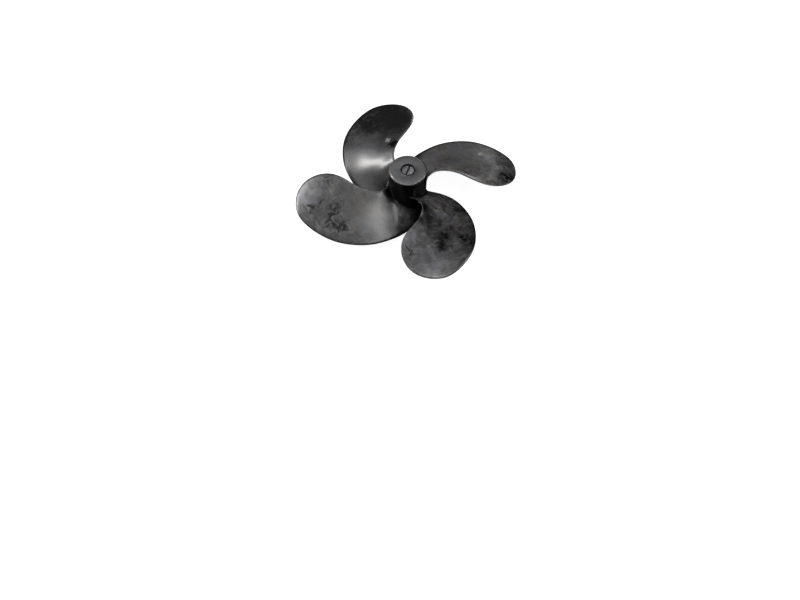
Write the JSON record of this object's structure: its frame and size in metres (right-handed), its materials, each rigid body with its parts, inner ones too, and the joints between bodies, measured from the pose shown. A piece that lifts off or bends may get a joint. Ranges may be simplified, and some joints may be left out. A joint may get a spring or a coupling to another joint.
{
  "type": "pond de-icer propeller",
  "caption": "Swept marine-style propeller for a pond de-icer: moulded plastic hub and blades in one piece, a slotted screw in the nose and a metal shaft insert.",
  "frame": {"origin": "centre of the hub's back face, on the shaft axis, where the propeller stands on its hub", "axes": "+Z along the shaft axis from the back face to the nose with the slotted screw; +X across the hub, 49 degrees clockwise from where one blade's full edge leaves the hub, seen from the nose; that blade sweeps back clockwise, and its tip lies 72 degrees clockwise from +X"},
  "size_m": [0.223, 0.223, 0.056],
  "materials": {
    "plastic": "satin charcoal moulded nylon, dusty and rubbed",
    "screw_steel": "dull plated steel",
    "insert_brass": "turned, dull"
  },
  "bodies": {
    "root": {"propeller_moulding": "plastic", "retaining_screw": "screw_steel", "shaft_insert": "insert_brass"}
  },
  "joints": []
}
